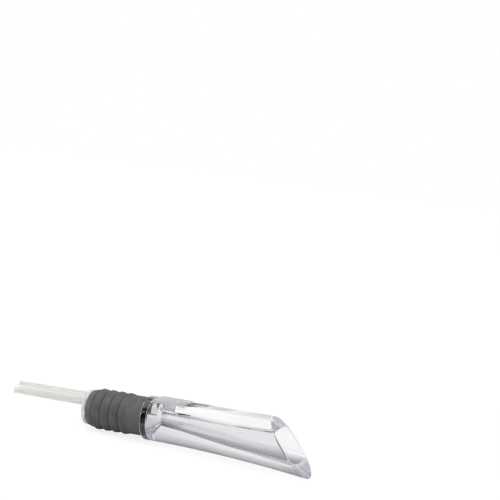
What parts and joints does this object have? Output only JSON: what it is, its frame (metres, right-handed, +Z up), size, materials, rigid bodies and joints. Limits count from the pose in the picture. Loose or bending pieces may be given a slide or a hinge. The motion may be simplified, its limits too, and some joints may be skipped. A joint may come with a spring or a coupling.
{
  "type": "wine aerator pourer",
  "caption": "Clear flared venturi spout with a slanted mouth and an air scoop, on a ribbed grey rubber bottle stopper with a long vent tube.",
  "frame": {"origin": "on the stopper's axis, at the front edge of the rib nearest the spout, where the bottle's lip lies", "axes": "+X along the stopper's axis towards the mouth, +Z up towards the air scoop, +Y to the left when looking along +X"},
  "size_m": [0.1608, 0.0208, 0.0262],
  "materials": {
    "clear_plastic": "polished clear acrylic",
    "milky_plastic": "translucent, slightly milky",
    "core_plastic": "black moulded plastic",
    "grey_rubber": "matt moulded rubber",
    "black_rubber": "matt black rubber"
  },
  "bodies": {
    "stopper": {"stopper_core": "core_plastic", "stopper_sleeve": "grey_rubber", "seal_ring": "black_rubber", "vent_bush": "black_rubber", "nose_cap": "clear_plastic"},
    "spout": {"spout_body": "clear_plastic", "air_duct_cover": "clear_plastic"},
    "vent_tube": {"vent_tube": "milky_plastic"}
  },
  "joints": [
    {"name": "spout_pull", "type": "slide", "parent": "stopper", "child": "spout", "axis": [1, 0, 0], "range_m": [0, 0.025]},
    {"name": "vent_tube_pull", "type": "slide", "parent": "stopper", "child": "vent_tube", "axis": [-1, 0, 0], "range_m": [0, 0.02]}
  ]
}
